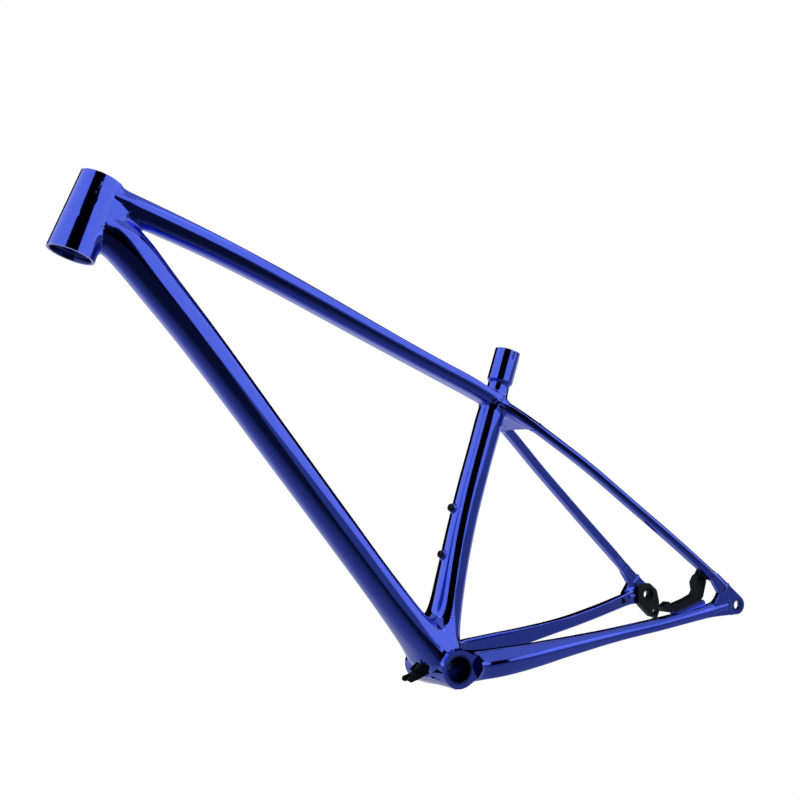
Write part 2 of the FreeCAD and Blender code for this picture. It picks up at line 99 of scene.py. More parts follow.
# ---- smooth solids ----------------------------------------------------------------------------
def smooth_curve(knots, values):
    """Natural cubic spline through the values: a function that gives value and slope."""
    x = np.array(knots, float)
    y = np.array(values, float)
    gap = np.diff(x)
    count = len(x)
    system = np.eye(count)
    right = np.zeros(count)
    for i in range(1, count - 1):
        system[i, i - 1] = gap[i - 1]
        system[i, i] = 2 * (gap[i - 1] + gap[i])
        system[i, i + 1] = gap[i]
        right[i] = 6 * ((y[i + 1] - y[i]) / gap[i] - (y[i] - y[i - 1]) / gap[i - 1])
    bend = np.linalg.solve(system, right)

    def at(s):
        inside = (s > x[0]) & (s < x[-1])
        s = np.clip(s, x[0], x[-1])
        i = np.clip(np.searchsorted(x, s) - 1, 0, count - 2)
        before = s - x[i]
        after = x[i + 1] - s
        low = y[i] / gap[i] - bend[i] * gap[i] / 6
        high = y[i + 1] / gap[i] - bend[i + 1] * gap[i] / 6
        value = (bend[i] * after**3 + bend[i + 1] * before**3) / (6 * gap[i]) + low * after + high * before
        slope = (bend[i + 1] * before**2 - bend[i] * after**2) / (2 * gap[i]) - low + high
        return value, slope * inside

    return at


class Tube:
    """Tube along a nearly straight line from start to end.

    Its section is a polygon with rounded corners. Each side faces at a fixed angle, 0 to the
    outside and 90 up, and its distance from the centre changes along the tube. A station is
    (share of the length, offset outside, offset up, corner power, one distance for each side).
    """

    def __init__(self, start, end, outside, angles, stations, capped=True):
        self.start = np.array(start, float)
        self.along = unit(np.array(end, float) - self.start)
        self.length = float(np.linalg.norm(np.array(end, float) - self.start))
        self.up = unit(np.cross(outside, self.along))
        if self.up[2] < 0:
            self.up = -self.up
        self.outside = np.array(outside, float) - self.along * np.dot(outside, self.along)
        self.outside = unit(self.outside)
        self.turn = [(math.cos(math.radians(a)), math.sin(math.radians(a))) for a in angles]
        knots = [row[0] * self.length for row in stations]
        columns = list(zip(*stations))
        self.offset_out = smooth_curve(knots, columns[1])
        self.offset_up = smooth_curve(knots, columns[2])
        self.power = smooth_curve(knots, columns[3])
        self.sides = [smooth_curve(knots, column) for column in columns[4:]]
        self.ends = ((knots[0], -1), (knots[-1], 1)) if capped else ()

    def __call__(self, points):
        """Distance to the surface and its direction, for each point."""
        local = points - self.start
        s = local @ self.along
        out_at, out_slope = self.offset_out(s)
        up_at, up_slope = self.offset_up(s)
        power = self.power(s)[0]
        out = local @ self.outside - out_at
        up = local @ self.up - up_at
        shares = []
        slopes = []
        for (c, sn), side in zip(self.turn, self.sides):
            reach, reach_slope = side(s)
            shares.append(np.maximum(out * c + up * sn, 1e-4) / reach)
            slopes.append((c / reach, sn / reach, reach_slope / reach))
        shares = np.array(shares)
        most = shares.max(0)
        weights = (shares / most) ** power
        total = weights.sum(0)
        level = most * total ** (1 / power)
        weights = weights / shares * (level / total)
        by_out = sum(w * slope[0] for w, slope in zip(weights, slopes))
        by_up = sum(w * slope[1] for w, slope in zip(weights, slopes))
        by_s = -sum(w * q * slope[2] for w, q, slope in zip(weights, shares, slopes))
        by_s = by_s - by_out * out_slope - by_up * up_slope
        size = np.sqrt(by_out**2 + by_up**2 + by_s**2)
        distance = (level - 1) / size
        facing = (np.outer(by_out / size, self.outside) + np.outer(by_up / size, self.up)
                  + np.outer(by_s / size, self.along))
        for end, sign in self.ends:
            beyond = sign * (s - end)
            closer = beyond > distance
            distance = np.where(closer, beyond, distance)
            facing[closer] = sign * self.along
        return distance, facing


class Plate:
    """Flat plate: an outline of (x, z) corners, between two y levels, with rounded edges."""

    def __init__(self, corners, y_low, y_high, rounding, corner_round=0.0):
        self.corners = np.array(corners, float)
        self.middle = (y_low + y_high) / 2
        self.half = (y_high - y_low) / 2
        self.rounding = rounding
        self.corner_round = corner_round

    def __call__(self, points):
        flat = points[:, [0, 2]]
        nearest = np.full(len(flat), 1e9)
        inside = np.zeros(len(flat), bool)
        towards = np.zeros((len(flat), 2))
        for a, b in zip(self.corners, np.roll(self.corners, -1, axis=0)):
            edge = b - a
            from_a = flat - a
            t = np.clip((from_a @ edge) / (edge @ edge), 0, 1)
            gap = from_a - t[:, None] * edge
            far = np.sqrt((gap**2).sum(1))
            closer = far < nearest
            nearest = np.where(closer, far, nearest)
            towards[closer] = gap[closer]
            crosses = ((a[1] <= flat[:, 1]) != (b[1] <= flat[:, 1]))
            rise = edge[1] if edge[1] else 1e-9
            inside ^= crosses & (flat[:, 0] < a[0] + (flat[:, 1] - a[1]) / rise * edge[0])
        sign = np.where(inside, -1.0, 1.0)
        around = nearest * sign - self.corner_round
        towards = towards * (sign / np.maximum(nearest, 1e-6))[:, None]
        across = np.abs(points[:, 1] - self.middle) - self.half
        w1 = around + self.rounding
        w2 = across + self.rounding
        outer = np.sqrt(np.maximum(w1, 0) ** 2 + np.maximum(w2, 0) ** 2)
        distance = np.minimum(np.maximum(w1, w2), 0) + outer - self.rounding
        g1 = np.where((w1 > 0) | (w1 > w2), np.maximum(w1, 1e-6), 0)
        g2 = np.where((w2 > 0) | (w2 >= w1), np.maximum(w2, 1e-6), 0)
        size = np.sqrt(g1**2 + g2**2) + 1e-12
        level = np.sign(points[:, 1] - self.middle) * g2 / size
        facing = np.stack([towards[:, 0] * g1 / size, level, towards[:, 1] * g1 / size], 1)
        return distance, facing


class Blend:
    """Smooth union of solids. Each is joined to those before it with its own fillet size.

    The fillet fades where both surfaces face the same way, so flush sides don't swell.
    """

    def __init__(self, *parts):
        self.parts = parts

    def __call__(self, points):
        distance, facing = self.parts[0][0](points)
        for solid, fillet in self.parts[1:]:
            other, other_facing = solid(points)
            apart = np.clip(1 - (facing * other_facing).sum(1), 0, 1)
            share = np.maximum(fillet - np.abs(distance - other), 0) / fillet
            mixed = np.minimum(distance, other) - share**3 * fillet / 6 * apart
            weight = np.where(distance < other, share**2 / 2, 1 - share**2 / 2)[:, None]
            facing = facing * (1 - weight) + other_facing * weight
            facing = facing / np.maximum(np.sqrt((facing**2).sum(1)), 1e-9)[:, None]
            distance = mixed
        return distance, facing


def slope_of(solid, points, step=0.05):
    """Direction in which a solid's distance grows, by four differences."""
    total = np.zeros_like(points)
    for way in ((1, 1, 1), (1, -1, -1), (-1, 1, -1), (-1, -1, 1)):
        way = np.array(way, float)
        total += solid(points + way * step)[0][:, None] * way
    return total / (4 * step)


# ---- from a smooth solid to a mesh ---------------------------------------------------------------
SHIFT = 21                     # bits for one axis of a grid place packed into one number


def packed(grid):
    return (grid[:, 0] << (2 * SHIFT)) | (grid[:, 1] << SHIFT) | grid[:, 2]


def unpacked(keys):
    mask = (1 << SHIFT) - 1
    return np.stack([keys >> (2 * SHIFT), (keys >> SHIFT) & mask, keys & mask], 1)


def near_surface(solid, origin, cells, size, reach):
    """Of the cells of that size, those whose centre is within reach of the surface."""
    centres = origin + (cells + 0.5) * size
    return cells[np.abs(solid(centres)[0]) < reach * size]


def split_cells(cells, parts):
    steps = np.stack(np.meshgrid(*[np.arange(parts)] * 3, indexing="ij"), -1).reshape(-1, 3)
    return (cells[:, None, :] * parts + steps[None]).reshape(-1, 3)


def skin(solid, low, high, step):
    """Mesh of the solid's surface inside a box: corner points and four-sided faces."""
    origin = np.array(low, float) - step
    coarse = step * 8
    counts = np.ceil((np.array(high, float) + step - origin) / coarse).astype(int)
    blocks = np.stack(np.meshgrid(*[np.arange(n) for n in counts], indexing="ij"), -1).reshape(-1, 3)
    blocks = near_surface(solid, origin, blocks, coarse, 1.25)
    cells = near_surface(solid, origin, split_cells(blocks, 4), coarse / 4, 1.35)
    cells = split_cells(cells, 2).astype(np.int64)
    corner_steps = np.array([(i, j, k) for i in (0, 1) for j in (0, 1) for k in (0, 1)])
    corner_keys = packed((cells[:, None, :] + corner_steps[None]).reshape(-1, 3))
    keys, where = np.unique(corner_keys, return_inverse=True)
    values = solid(origin + unpacked(keys) * step)[0]
    where = where.reshape(-1, 8)
    at_corners = values[where]
    crossing = (at_corners.min(1) < 0) & (at_corners.max(1) >= 0)
    cells = cells[crossing]
    where = where[crossing]
    at_corners = at_corners[crossing]

    # one point per crossed cell: the mean of its edges' crossings
    total = np.zeros((len(cells), 3))
    count = np.zeros(len(cells))
    for a in range(8):
        for b in range(a + 1, 8):
            if abs(corner_steps[a] - corner_steps[b]).sum() != 1:
                continue
            va = at_corners[:, a]
            vb = at_corners[:, b]
            cut = (va < 0) != (vb < 0)
            share = np.where(cut, va / np.where(cut, va - vb, 1), 0)
            spot = corner_steps[a] + share[:, None] * (corner_steps[b] - corner_steps[a])
            total += spot * cut[:, None]
            count += cut
    points = origin + (cells + total / count[:, None]) * step
    for _ in range(3):
        distance, facing = solid(points)
        points = points - np.clip(distance, -step / 2, step / 2)[:, None] * facing

    # one face per crossed grid edge, between the four cells round it
    cell_keys = packed(cells)
    order = np.argsort(cell_keys)
    sorted_keys = cell_keys[order]
    faces = []
    for axis in range(3):
        one = (axis + 1) % 3
        two = (axis + 2) % 3
        tip = 1 << (2 - axis)
        va = at_corners[:, 0]
        vb = at_corners[:, tip]
        for leaving in (True, False):
            cut = (va < 0) & (vb >= 0) if leaving else (va >= 0) & (vb < 0)
            base = cells[cut]
            ring = []
            for shift_one, shift_two in ((0, 0), (-1, 0), (-1, -1), (0, -1)):
                grid = base.copy()
                grid[:, one] += shift_one
                grid[:, two] += shift_two
                grid_keys = packed(grid)
                found = np.searchsorted(sorted_keys, grid_keys)
                found = np.minimum(found, len(sorted_keys) - 1)
                real = sorted_keys[found] == grid_keys
                ring.append(np.where(real, order[found], -1))
            ring = np.stack(ring, 1)
            ring = ring[(ring >= 0).all(1)]
            faces.append(ring if leaving else ring[:, ::-1])
    faces = np.concatenate(faces)
    used, faces = np.unique(faces, return_inverse=True)
    return points[used], faces.reshape(-1, 4)


def mesh_of(name, points, faces):
    mesh = bpy.data.meshes.new(name)
    mesh.from_pydata((np.array(points) * MM).tolist(), [], np.array(faces).tolist())
    mesh.update()
    return mesh


def mesh_from_lists(name, points, faces):
    """Closed mesh from points in millimetres and faces of any size, turned to face outwards."""
    mesh = bpy.data.meshes.new(name)
    mesh.from_pydata([tuple(np.array(point) * MM) for point in points], [], faces)
    work = bmesh.new()
    work.from_mesh(mesh)
    bmesh.ops.recalc_face_normals(work, faces=work.faces[:])
    work.to_mesh(mesh)
    work.free()
    return mesh


def add_object(name, mesh):
    piece = bpy.data.objects.new(name, mesh)
    bpy.context.scene.collection.objects.link(piece)
    return piece


def trim(mesh, planes):
    """Keep the side of each plane (point, direction) that the direction points away from."""
    work = bmesh.new()
    work.from_mesh(mesh)
    for point, direction in planes:
        everything = work.verts[:] + work.edges[:] + work.faces[:]
        bmesh.ops.bisect_plane(work, geom=everything, dist=1e-6, plane_co=Vector(point) * MM,
                               plane_no=Vector(direction), clear_outer=True)
        open_edges = [edge for edge in work.edges if len(edge.link_faces) == 1]
        bmesh.ops.holes_fill(work, edges=open_edges, sides=0)
    loose = [vert for vert in work.verts if not vert.link_faces]
    bmesh.ops.delete(work, geom=loose, context="VERTS")
    big = [face for face in work.faces if len(face.verts) > 4]
    bmesh.ops.triangulate(work, faces=big)
    bmesh.ops.recalc_face_normals(work, faces=work.faces[:])
    work.to_mesh(mesh)
    work.free()


def lathe(rings, base, direction, sides=96):
    """Closed solid of revolution: rings are (distance along the axis, radius)."""
    direction = unit(direction)
    across = unit(np.cross(direction, (0.31, 0.9, 0.2)))
    other = np.cross(direction, across)
    points = []
    for along, radius in rings:
        for i in range(sides):
            turn = 2 * math.pi * i / sides
            spoke = across * math.cos(turn) + other * math.sin(turn)
            points.append(np.array(base, float) + direction * along + spoke * radius)
    faces = []
    for r in range(len(rings) - 1):
        for i in range(sides):
            j = (i + 1) % sides
            faces.append((r * sides + i, r * sides + j, (r + 1) * sides + j, (r + 1) * sides + i))
    last = (len(rings) - 1) * sides
    faces.append(tuple(reversed(range(sides))))
    faces.append(tuple(range(last, last + sides)))
    return mesh_from_lists("lathe", points, faces)


def cut_away(piece, meshes):
    """Take closed meshes out of a piece."""
    for mesh in meshes:
        cutter = add_object("cutter", mesh)
        step = piece.modifiers.new("cut", "BOOLEAN")
        step.operation = "DIFFERENCE"
        step.solver = "MANIFOLD"
        step.object = cutter
        evaluated = piece.evaluated_get(bpy.context.evaluated_depsgraph_get())
        result = bpy.data.meshes.new_from_object(evaluated)
        piece.modifiers.clear()
        old = piece.data
        piece.data = result
        bpy.data.meshes.remove(old)
        bpy.data.objects.remove(cutter)
        bpy.data.meshes.remove(mesh)


CREASE = math.radians(32)      # edges sharper than this stay sharp
SAME_WAY = 0.8                 # least cosine between a face and the solid's own normal there
ON_SURFACE = 0.06              # greatest distance of a painted corner from the surface


def finish_normals(mesh, solid):
    """Exact normals on the painted surface, and smooth or sharp ones on the cut faces."""
    mesh.polygons.foreach_set("use_smooth", np.ones(len(mesh.polygons), bool))
    mesh.set_sharp_from_angle(angle=CREASE)
    mesh.update()
    count = len(mesh.vertices)
    points = np.empty(count * 3)
    mesh.vertices.foreach_get("co", points)
    points = points.reshape(-1, 3) / MM
    corner_vertex = np.empty(len(mesh.loops), int)
    mesh.loops.foreach_get("vertex_index", corner_vertex)
    face_normal = np.empty(len(mesh.polygons) * 3)
    mesh.polygons.foreach_get("normal", face_normal)
    face_normal = face_normal.reshape(-1, 3)
    sizes = np.empty(len(mesh.polygons), int)
    mesh.polygons.foreach_get("loop_total", sizes)
    corner_face = np.repeat(np.arange(len(mesh.polygons)), sizes)
    distance = solid(points)[0]
    gradient = slope_of(solid, points)
    gradient /= np.maximum(np.sqrt((gradient**2).sum(1)), 1e-9)[:, None]
    corners = np.array([normal.vector for normal in mesh.corner_normals])
    agree = (gradient[corner_vertex] * face_normal[corner_face]).sum(1) > SAME_WAY
    painted = agree & (np.abs(distance[corner_vertex]) < ON_SURFACE)
    all_painted = np.minimum.reduceat(painted.astype(int), np.cumsum(sizes) - sizes)
    exact = all_painted[corner_face].astype(bool)
    corners[exact] = gradient[corner_vertex][exact]
    mesh.normals_split_custom_set(corners.tolist())


# ---- the painted tubes ----------------------------------------------------------------------------
ROUND = (0, 90, 180, 270)
HEAD_RADIUS_LOW = 30.2
HEAD_RADIUS_HIGH = 24.4
NECK_RADIUS = 15.2
COLLAR_RADIUS = 17.6
COLLAR_START = 397.0           # along the seat tube's line
FLARE_LENGTH = 4               # from the neck to the collar's full width


def round_row(share, out, up, power, width, height):
    """Station of a tube with an oval section."""
    return (share, out, up, power, width, height, width, height)


def rod_solid(start, end, radius):
    """Straight round bar."""
    rows = [round_row(share, 0, 0, 2, radius, radius) for share in (0.0, 1.0)]
    outside = np.array([1.0, 0, 0]) if abs(unit(end - start)[1]) > 0.9 else LEFT
    return Tube(start, end, outside, ROUND, rows)


def head_row(share):
    radius = HEAD_RADIUS_LOW + (HEAD_RADIUS_HIGH - HEAD_RADIUS_LOW) * share
    return round_row(share, 0, 0, 2, radius, radius)


head = Tube(HEAD_LOW, HEAD_HIGH, LEFT, ROUND, [head_row(share) for share in (-0.08, 1.08)], capped=False)

# Web that fills the corner between the head tube and the two tubes behind it
gusset = Plate(((-470, 556), (-462, 598), (-442, 588), (-434, 575), (-449, 542), (-466, 542)),
               -18.5, 18.5, 9.0, 4.0)


def on_line(start, end, x, z):
    """Share along a tube's straight line of a point in the middle plane, and its height above the line."""
    along = unit(end - start)
    local = np.array([x, 0, z]) - start
    return np.dot(local, along) / np.linalg.norm(end - start), local[0] * -along[2] + local[2] * along[0]


DOWN_START = np.array([-477.0, 0, 569])
DOWN_END = np.array([-8.0, 0, 6])
# (x, z, corner power, half width, half height)
DOWN_LINE = ((-477, 569, 2.3, 17.5, 23), (-440, 545, 2.3, 24, 26), (-399, 501, 2.3, 26.2, 25),
             (-360.8, 455.6, 2.3, 26.6, 23.6), (-254.8, 322.8, 2.3, 26, 21.9),
             (-144.7, 182.7, 2.3, 26, 21.2), (-86.5, 108.5, 2.3, 27.3, 21.2),
             (-43.9, 54.2, 2.4, 34, 21.4), (-8, 6, 2.6, 45, 20))


def down_row(x, z, power, width, height):
    share, rise = on_line(DOWN_START, DOWN_END, x, z)
    return round_row(share, 0, rise, power, width, height)


down = Tube(DOWN_START, DOWN_END, LEFT, ROUND, [down_row(*row) for row in DOWN_LINE])

# The top tube's side has two facets that meet in a crease, over a rounded belly.
TOP_SIDES = (90, 20, -25, -60, -90, 240, 205, 160)
TOP_START = np.array([-463.0, 0, 597.2])
TOP_END = np.array([104.0, 0, 344.5])
# (x, z, half width, half height)
TOP_LINE = ((-463, 597.2, 16.5, 16.6), (-440, 588, 20, 16.6), (-420, 580.5, 20.5, 16.3),
            (-334, 547.8, 20.5, 14.6), (-226, 501, 20.5, 13.4), (-112, 447.4, 20.5, 12),
            (9, 391.4, 20.8, 10.8), (60, 367.8, 21, 10.4), (104, 344.5, 17, 8.6))
TOP_ABOVE = 0.84               # share of the half height from the crease to the top
TOP_BELOW = 1.16               # and from the crease to the belly
UPPER_FACET = (0.94, 0.6)      # a facet's distance: share of the half width, and millimetres more
LOWER_FACET = (0.906, 0.4)


def top_row(x, z, half, height):
    """Station of the top tube; its side creases are nearer the top than the belly."""
    share, rise = on_line(TOP_START, TOP_END, x, z)
    above = height * TOP_ABOVE
    below = height * TOP_BELOW
    crease = rise + height - above
    belly = (half + below) * 0.5
    lower = half * LOWER_FACET[0] + LOWER_FACET[1]
    upper = half * UPPER_FACET[0] + UPPER_FACET[1]
    return (share, 0, crease, 15, above, upper, lower, belly, below, belly, lower, upper)


top = Tube(TOP_START, TOP_END, LEFT, TOP_SIDES, [top_row(*row) for row in TOP_LINE])


def seat_row(along, back, width, depth):
    """Station of the seat tube; up is its front."""
    return round_row(along / SEAT_LENGTH, 0, -back, 2.1, width, depth)


seat = Tube(SEAT_FOOT, SEAT_TOP, LEFT, ROUND, (
    seat_row(12, 19, 43, 22), seat_row(40, 16, 35, 21.5), seat_row(76, 12, 28, 20.3),
    seat_row(113, 8, 24.3, 19.3), seat_row(147, 5, 21.8, 18.7), seat_row(180, 2.6, 20.3, 18.5),
    seat_row(214, 1, 19.2, 18.3), seat_row(264, 0, 18.5, 18.3), seat_row(316, 0, 18.3, 18.3),
    seat_row(362, 0, 17.8, 17.8), seat_row(388, 0, NECK_RADIUS, NECK_RADIUS),
    seat_row(430, 0, NECK_RADIUS, NECK_RADIUS),
))
collar_foot = SEAT_FOOT + SEAT_UP * COLLAR_START
collar_full = SEAT_FOOT + SEAT_UP * (COLLAR_START + FLARE_LENGTH)
collar_flare = Tube(collar_foot, collar_full, LEFT, ROUND,
                    [round_row(0.0, 0, 0, 2, NECK_RADIUS - 0.5, NECK_RADIUS - 0.5),
                     round_row(1.0, 0, 0, 2, COLLAR_RADIUS, COLLAR_RADIUS)])
collar = rod_solid(collar_full - SEAT_UP * 0.3, SEAT_TOP + SEAT_UP * 20, COLLAR_RADIUS)

BOSS_MIDDLE = place("bottle_cage")
BOSS_OUT = unit(MOUNTS["bottle_cage"]["axis"])
BOSS_UP = np.cross(BOSS_OUT, RIGHT) * np.sign(np.cross(BOSS_OUT, RIGHT)[2])
BOSS_STEP = 32.0               # from the middle of the bottle cage's mount to each boss
BOSS_RADIUS = 6.6
BOSS_DEPTH = 14
BOSS_CENTRES = [BOSS_MIDDLE + BOSS_UP * step for step in (-BOSS_STEP, BOSS_STEP)]
boss_pads = [rod_solid(centre - BOSS_OUT * BOSS_DEPTH, centre, BOSS_RADIUS) for centre in BOSS_CENTRES]

shell = rod_solid(LEFT * (SHELL_HALF + 10), RIGHT * (SHELL_HALF + 10), SHELL_RADIUS)

# Upper and lower facets of a stay meet in a crease along its outer side.
STAY_SIDES = (90, 40, -28, -90, 180)
STAY_UPPER = (0.766, 0.30)     # a facet's distance: shares of the half width and the half height
STAY_LOWER = (0.883, 0.20)
# (x, y, z, half width, half height) of the left stays
CHAIN_LINE = ((4, -34, -1, 12, 19), (26, -38, 1, 12, 19.4), (48, -46, 3, 11.5, 19.4),
              (70, -55, 6, 10, 18.8), (98, -60, 9.5, 9.2, 17.2), (126, -62, 13.5, 9, 15.6),
              (157, -63.5, 18, 9, 13.4), (188, -65.5, 22.5, 9, 11.6), (218, -68, 27, 9, 10),
              (262, -73.3, 33.8, 9, 8.8), (308, -82.6, 41.5, 9, 8.5), (350, -91, 49.5, 8.2, 8.6),
              (388, -97.5, 56.6, 6.6, 9.2), (412, -99.5, 60.5, 4.6, 9.0))
SEATSTAY_LINE = ((88, -12.2, 352.5, 6, 6), (104, -16.5, 343.2, 7.2, 6.8), (118, -27, 331.2, 7.8, 7.0),
                 (133, -37, 318.3, 7.8, 6.5), (159.2, -47, 297.2, 7.8, 6.2), (193.5, -59, 269.4, 7.8, 6.1),
                 (260, -75, 213.2, 7.8, 6.1), (327.6, -89.5, 156, 8, 6.2), (366, -96.5, 123, 7.4, 6.4),
                 (389.4, -99.4, 103.2, 5.4, 6.9), (408, -99.6, 87.5, 4.4, 6.9))
END_SHIFT = 5.4                # the drive side's dropout is that much further out


def stay_row(share, out, up, power, width, height):
    """Station of a stay."""
    upper = width * STAY_UPPER[0] + height * STAY_UPPER[1]
    lower = width * STAY_LOWER[0] + height * STAY_LOWER[1]
    return (share, out, up, power, height, upper, lower, height, width)


def stay_tube(line, power, side):
    """Tube through (x, y, z, half width, half height) stations, left (-1) or right (1)."""
    outside = RIGHT * side
    places = []
    for i, (x, y, z, width, height) in enumerate(line):
        shift = END_SHIFT * max(0, i - len(line) + 3) / 2 if side > 0 else 0
        places.append((np.array([x, -y * side + shift * side, z], float), width, height))
    start = places[0][0]
    end = places[-1][0]
    along = unit(end - start)
    out = unit(outside - along * np.dot(outside, along))
    up = np.cross(out, along)
    up = up if up[2] > 0 else -up
    stations = []
    for spot, width, height in places:
        local = spot - start
        share = np.dot(local, along) / np.linalg.norm(end - start)
        stations.append(stay_row(share, np.dot(local, out), np.dot(local, up), power, width, height))
    return Tube(start, end, outside, STAY_SIDES, stations)


left_chain_tube = stay_tube(CHAIN_LINE, 9.0, -1)
right_chain_tube = stay_tube(CHAIN_LINE, 9.0, 1)
left_seat_stay = stay_tube(SEATSTAY_LINE, 7.0, -1)
right_seat_stay = stay_tube(SEATSTAY_LINE, 7.0, 1)

BRIDGE_START = np.array([94.0, 0, 350.5])
BRIDGE_END = np.array([134.0, 0, 317.4])
bridge = Tube(BRIDGE_START, BRIDGE_END, LEFT, ROUND, (
    round_row(0.0, 0, 0, 5, 20, 9.0),
    round_row(0.5, 0, 0, 5, 28, 7.2),
    round_row(1.0, 0, 0, 5, 40, 6.0),
))

AXLE_X = AXLE[0]
AXLE_Z = AXLE[2]
TIP_RADIUS = 13.3
EDGE_ROUND = 1.4               # of the dropouts' edges
WEB_FILLET = 5                 # tip to web
TIP = ((AXLE_X - 0.1, AXLE_Z), (AXLE_X + 0.1, AXLE_Z), (AXLE_X, AXLE_Z + 0.1))
WEB = ((388, 50), (AXLE_X, AXLE_Z - 11.3), (AXLE_X + 7.3, AXLE_Z + 8.8), (395, 105.5), (388, 99), (400, 80),
       (390, 66))


def dropout_parts(y_low, y_high):
    """Round tip at the axle and the web between the stays."""
    tip = Plate(TIP, y_low, y_high, EDGE_ROUND, TIP_RADIUS)
    web = Plate(WEB, y_low, y_high, EDGE_ROUND, 2.0)
    return (tip, 0), (web, WEB_FILLET)


left_plate = dropout_parts(-104.0, -95.0)
right_plate = dropout_parts(100.0, 110.0)

# Fillets where the tubes meet
CROTCH_FILLET = 16             # top tube to down tube
GUSSET_FILLET = 9
HEAD_FILLET = 20
FOOT_FILLET = 45               # down tube to the seat tube's wide foot
SHELL_FILLET = 16
CHAIN_FILLET = 30
JOINT_FILLET = 9               # top tube and seatstays to the seat tube
BRIDGE_FILLET = 8
COLLAR_FILLET = 3
PAD_FILLET = 2.5
END_FILLET = 13                # stays to the dropouts

chainstays = ((left_chain_tube, CHAIN_FILLET), (right_chain_tube, CHAIN_FILLET))
seatstays = ((left_seat_stay, JOINT_FILLET), (right_seat_stay, JOINT_FILLET))
pads = [(pad, PAD_FILLET) for pad in boss_pads]
flare = (collar_flare, COLLAR_FILLET)
front = ((top, 0), (down, CROTCH_FILLET), (gusset, GUSSET_FILLET), (head, HEAD_FILLET))
front_skin = Blend(*front)
top_skin = Blend(*front, (seat, JOINT_FILLET), flare)
down_skin = Blend(*front, (seat, FOOT_FILLET), (shell, SHELL_FILLET))
low_skin = Blend((down, 0), (seat, FOOT_FILLET), (shell, SHELL_FILLET), *chainstays)
seat_skin = Blend((seat, 0), (down, FOOT_FILLET), (top, JOINT_FILLET), flare, (collar, 1),
                  (bridge, BRIDGE_FILLET), *pads, *seatstays)
rear_skin = Blend((top, 0), (seat, JOINT_FILLET), (bridge, BRIDGE_FILLET), *seatstays)


# ---- cutting the skin into pieces --------------------------------------------------------------------
# Planes where the pieces meet: points (SPLIT, TOP, FOOT) and directions (WAY)
HEAD_SPLIT = HEAD_LOW + HEAD_BACK * 31.5
SEAT_FRONT_SPLIT = SEAT_FOOT - SEAT_BACK * 23.5
SEAT_REAR_SPLIT = SEAT_FOOT + SEAT_UP * 360 + SEAT_BACK * 20.5
SEAT_REAR_WAY = unit(SEAT_BACK * 310 + SEAT_UP * 27.5)
CROTCH = np.array([-436.0, 0, 560])
CROTCH_WAY = unit((-0.602, 0, -0.798))
SHELL_TOP = np.array([-34.5, 0, 51.9])     # where the down tube's foot meets the seat tube's front
SHELL_WAY = unit((-0.07, 0, 1.0))
DOWN_FOOT = -down.along * 62.0
STAY_SPLIT = np.array([28.0, 0, 0])
X_WAY = np.array([1.0, 0, 0])
MIDDLE = np.zeros(3)
BRIDGE_SPLIT = np.array([142.0, 0, 311.0])
BRIDGE_WAY = unit(BRIDGE_END - BRIDGE_START)
DROP_SPLIT = np.array([371.0, 0, 0])
GRID = 1.4                     # spacing of the skins' meshes
FINE = 0.9                     # and of the dropouts'

painted_pieces = []


def drop_scraps(mesh, smallest=12):
    """Merge double points and delete islands of only a few faces."""
    work = bmesh.new()
    work.from_mesh(mesh)
    bmesh.ops.remove_doubles(work, verts=work.verts[:], dist=1e-6)
    bmesh.ops.dissolve_degenerate(work, edges=work.edges[:], dist=1e-6)
    seen = set()
    scraps = []
    for first in work.faces:
        if first in seen:
            continue
        island = {first}
        waiting = [first]
        while waiting:
            for edge in waiting.pop().edges:
                new = [face for face in edge.link_faces if face not in island]
                island.update(new)
                waiting.extend(new)
        seen |= island
        if len(island) < smallest:
            scraps.extend(island)
    bmesh.ops.delete(work, geom=scraps, context="FACES")
    work.to_mesh(mesh)
    work.free()


def painted(name, solid, low, high, planes, cutters=(), step=GRID):
    """One piece of the painted skin in place of its CAD node.

    The solid is meshed in a box (low, high), cut by planes and opened by the cutters.
    """
    points, faces = skin(solid, low, high, step)
    mesh = mesh_of(name, points, faces)
    trim(mesh, planes)
    piece = add_object(name, mesh)
    cut_away(piece, cutters)
    drop_scraps(piece.data)
    finish_normals(piece.data, solid)
    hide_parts(name)
    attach(piece, "root")
    painted_pieces.append(piece)


def rod(base, direction, radius, start, end):
    """Round bar between two distances from a base point."""
    return lathe(((start, radius), (end, radius)), base, direction)


# Bores and pockets
SPARE = 5                      # how far a cutter reaches out of an open end
STEERER_RADII = (24, 18)       # lower and upper end
SEAT_POCKET_RADII = (27.65, 22.6)
SEAT_POCKET_DEPTH = 10
POST_RADIUS = 13.6
POST_BORE_START = 215          # along the seat tube's line, from the bottom bracket's height
BUSHING_RADIUS = 8.0
SLOT_HALF = 1.25
SLOT_DEPTH = 12.5
SLOT_ABOVE = 20                # how far the slot's cutter reaches up, and out to each side
SLOT_ACROSS = 30

steerer_bore = lathe(((-SPARE, STEERER_RADII[0]), (HEAD_LENGTH + SPARE, STEERER_RADII[1])),
                     HEAD_LOW, HEAD_UP)
low_pocket = rod(HEAD_LOW, HEAD_UP, SEAT_POCKET_RADII[0], -SPARE, SEAT_POCKET_DEPTH)
high_pocket = rod(HEAD_HIGH, -HEAD_UP, SEAT_POCKET_RADII[1], -SPARE, SEAT_POCKET_DEPTH)
painted("head_tube", front_skin, (-545, -45, 505), (-410, 45, 640),
        ((HEAD_SPLIT, HEAD_BACK), (HEAD_LOW, -HEAD_UP), (HEAD_HIGH, HEAD_UP)),
        (steerer_bore, low_pocket, high_pocket))
painted("top_tube", top_skin, (-480, -45, 330), (100, 45, 625),
        ((HEAD_SPLIT, -HEAD_BACK), (CROTCH, CROTCH_WAY), (SEAT_FRONT_SPLIT, SEAT_BACK)))
